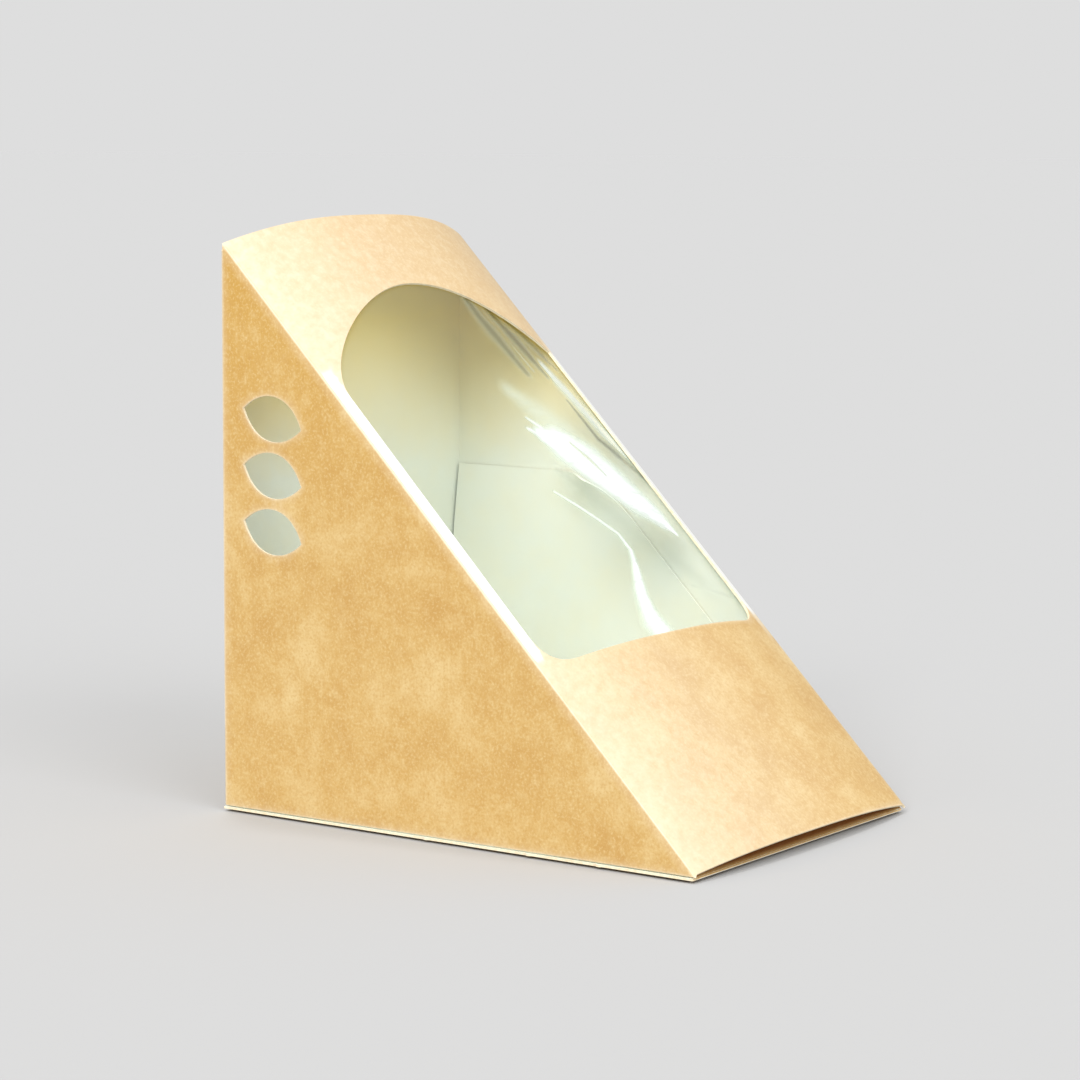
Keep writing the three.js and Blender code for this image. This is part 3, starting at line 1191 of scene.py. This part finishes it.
@dataclass
class WindowFilm:
    """The clear film behind the window."""

    sizes: PackSizes
    slope: SlopeFrame
    top: float = 11.8 * MM
    foot: float = 127.3 * MM
    side_gap: float = 0.2 * MM
    gap: float = 0.06 * MM
    slack: float = 0.5 * MM
    rise_share: float = 0.5
    side_fade: float = 4 * MM
    top_fade: tuple[float, float] = (24 * MM, 6 * MM)
    foot_fade: tuple[float, float] = (118 * MM, 5 * MM)
    thickness: float = 0.05 * MM
    columns: int = 188
    rows: int = 256
    pulls: tuple[Pull, ...] = PULLS

    def pulled(self, across: Array, down: Array) -> tuple[Array, Array]:
        """Give what the pulls do to the film.

        Args:
            across: Distance from the middle of the pack.
            down: Distance down the slope.

        Returns:
            The movement outward, and the tone from -1 (painted shade) to 1 (painted white
            reflection).
        """
        pairs = [(pull, pull.strength(across, down)) for pull in self.pulls]
        move = sum(pull.rise * MM * share for pull, share in pairs)
        # Painted reflection from the white pulls, painted shade from the dark ones.
        light = np.max([max(pull.tone, 0) * share for pull, share in pairs], axis=0)
        dark = np.min([min(pull.tone, 0) * share for pull, share in pairs], axis=0)
        return move, light + dark

    def build(self, material: Material) -> Piece:
        """Build the film: the bowed front surface, a board's thickness in, moved by its pulls."""
        sizes = self.sizes
        half = sizes.inner_half_width - self.side_gap
        columns = np.linspace(-half, half, self.columns)
        u, v = np.meshgrid(columns, np.linspace(self.top, self.foot, self.rows))
        across, down = u.ravel(), v.ravel()
        move, tone = self.pulled(across, down)
        below_top = unit((down - self.top_fade[0]) / self.top_fade[1])
        above_foot = unit((self.foot_fade[0] - down) / self.foot_fade[1])
        room = unit((half - np.abs(across)) / self.side_fade) * (below_top * above_foot)
        depth = sizes.board + self.gap + self.slack * room
        out = self.slope.bulge(across, down) - depth + move * room * self.rise_share
        front = self.slope.place(across, down, out)
        back = front - self.thickness * self.slope.out
        index = np.arange(self.rows * self.columns).reshape(self.rows, self.columns)
        corners = [index[:-1, :-1], index[1:, :-1], index[1:, 1:], index[:-1, 1:]]
        quads = np.stack(corners, -1).reshape(-1, 4)
        loop = np.concatenate([index[0, :-1], index[:-1, -1], index[-1, :0:-1], index[:0:-1, 0]])
        count = index.size
        after = np.roll(loop, -1)
        rim = np.column_stack([loop, after, after + count, loop + count])
        faces = [*quads.tolist(), *(quads[:, ::-1] + count).tolist(), *rim.tolist()]
        tones = np.concatenate([tone, tone])
        shell = Shell(np.vstack([front, back]), faces, [0] * len(faces), tones)
        piece = mesh_piece("window_film_sheet", [shell], [material])
        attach(piece, "carton")
        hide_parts("window_film")
        return piece


@dataclass(frozen=True)
class Sun:
    """A distant light: the way to it from the pack, and how wide it looks in degrees."""

    name: str
    strength: float
    way: tuple[float, float, float]
    spread: float


@dataclass
class Studio:
    """The pale floor, the soft lights and the camera at the photograph's angle."""

    sky: float = 0.73
    suns: tuple[Sun, ...] = (
        Sun("key", 2.5, (-0.75, -0.15, 0.65), 35),
        Sun("front", 1.0, (-0.3, -0.82, 0.5), 40),
        Sun("top", 0.6, (0.08, 0.1, 0.99), 6),
    )
    floor_half: float = 30.0
    floor_gap: float = 0.6 * MM
    front_fold: float = -59.9 * MM
    camera_place: tuple[float, float, float] = (-0.57712, -0.39452, 0.14424)
    camera_turn: float = math.radians(-55.138)
    camera_dip: float = math.radians(6.941)
    camera_roll: float = math.radians(0.274)
    lens: float = 108.76
    sensor: float = 36.0

    def floor(self) -> None:
        """Lay the floor, and let it sink with the base lid's front fold where the lid is open."""
        half = self.floor_half
        around = ((-half, -half), (half, -half), (half, half), (-half, half))
        corners = [(x, y, -self.floor_gap) for x, y in around]
        mesh = bpy.data.meshes.new("floor")
        mesh.from_pydata(corners, [], [(0, 1, 2, 3)])
        mesh.materials.append(PaleFloor().build())
        floor = bpy.data.objects.new("floor", mesh)
        bpy.context.scene.collection.objects.link(floor)
        marker = bpy.data.objects.new("front_fold", None)
        marker.location = (0, self.front_fold, 0)
        bpy.context.scene.collection.objects.link(marker)
        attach(marker, "lid")
        sink = floor.constraints.new("COPY_LOCATION")
        sink.target = marker
        sink.use_x = sink.use_y = False
        sink.use_offset = True

    def lights(self) -> None:
        """Set an even sky, a soft key at the left, a soft light in front and a small one above."""
        scene = bpy.context.scene
        scene.view_settings.view_transform = "Standard"
        scene.world = bpy.data.worlds.new("even_sky")
        scene.world.use_nodes = True
        sky = scene.world.node_tree.nodes["Background"]
        sky.inputs["Color"].default_value = (self.sky, self.sky, self.sky, 1)
        for sun in self.suns:
            light = bpy.data.lights.new(sun.name, "SUN")
            light.energy = sun.strength
            light.angle = math.radians(sun.spread)
            back = np.array(sun.way) / np.linalg.norm(sun.way)
            side = np.cross([0, 1, 0], back)
            side /= np.linalg.norm(side)
            self.stand(sun.name, light, (side, np.cross(back, side), back), (0, 0, 0))

    def stand(self, name: str, data: bpy.types.ID, axes: tuple, place: tuple) -> Piece:
        """Make an object and place it.

        Args:
            name: The object's name.
            data: Its light or camera.
            axes: Its own three axes.
            place: Its position.

        Returns:
            The object.
        """
        thing = bpy.data.objects.new(name, data)
        turn = Matrix([list(map(float, axis)) for axis in axes]).transposed()
        thing.matrix_world = Matrix.Translation(place) @ turn.to_4x4()
        bpy.context.scene.collection.objects.link(thing)
        return thing

    def camera(self) -> None:
        """Set the camera by its place, turn, dip and roll."""
        turn, dip, roll = self.camera_turn, self.camera_dip, self.camera_roll
        level_part = math.cos(dip)
        way = np.array([-math.sin(turn) * level_part, math.cos(turn) * level_part, -math.sin(dip)])
        level = np.array([math.cos(turn), math.sin(turn), 0.0])
        upright = np.cross(level, way)
        side = math.cos(roll) * level + math.sin(roll) * upright
        up = math.cos(roll) * upright - math.sin(roll) * level
        data = bpy.data.cameras.new("camera")
        data.lens = self.lens
        data.sensor_width = self.sensor
        bpy.context.scene.camera = self.stand("camera", data, (side, up, -way), self.camera_place)

    def build(self) -> None:
        """Set the whole stage."""
        self.camera()
        self.floor()
        self.lights()


def main() -> None:
    """Build the stage and the pack's pieces in order, and report each piece."""
    logging.basicConfig(level=logging.INFO, format="%(name)s: %(message)s")
    Studio().build()
    sizes = PackSizes()
    slope = SlopeFrame(sizes)
    faces = [KraftOutside().build(), LinedInside().build(), CutEdge().build()]
    pieces = [
        Carton(sizes, slope).build(faces),
        BaseLid(sizes, slope).build(faces),
        WindowFilm(sizes, slope).build(ClearFilm().build()),
    ]
    for piece in pieces:
        LOG.info("%s: %d faces", piece.name, len(piece.data.polygons))


if __name__ == "__main__":
    main()
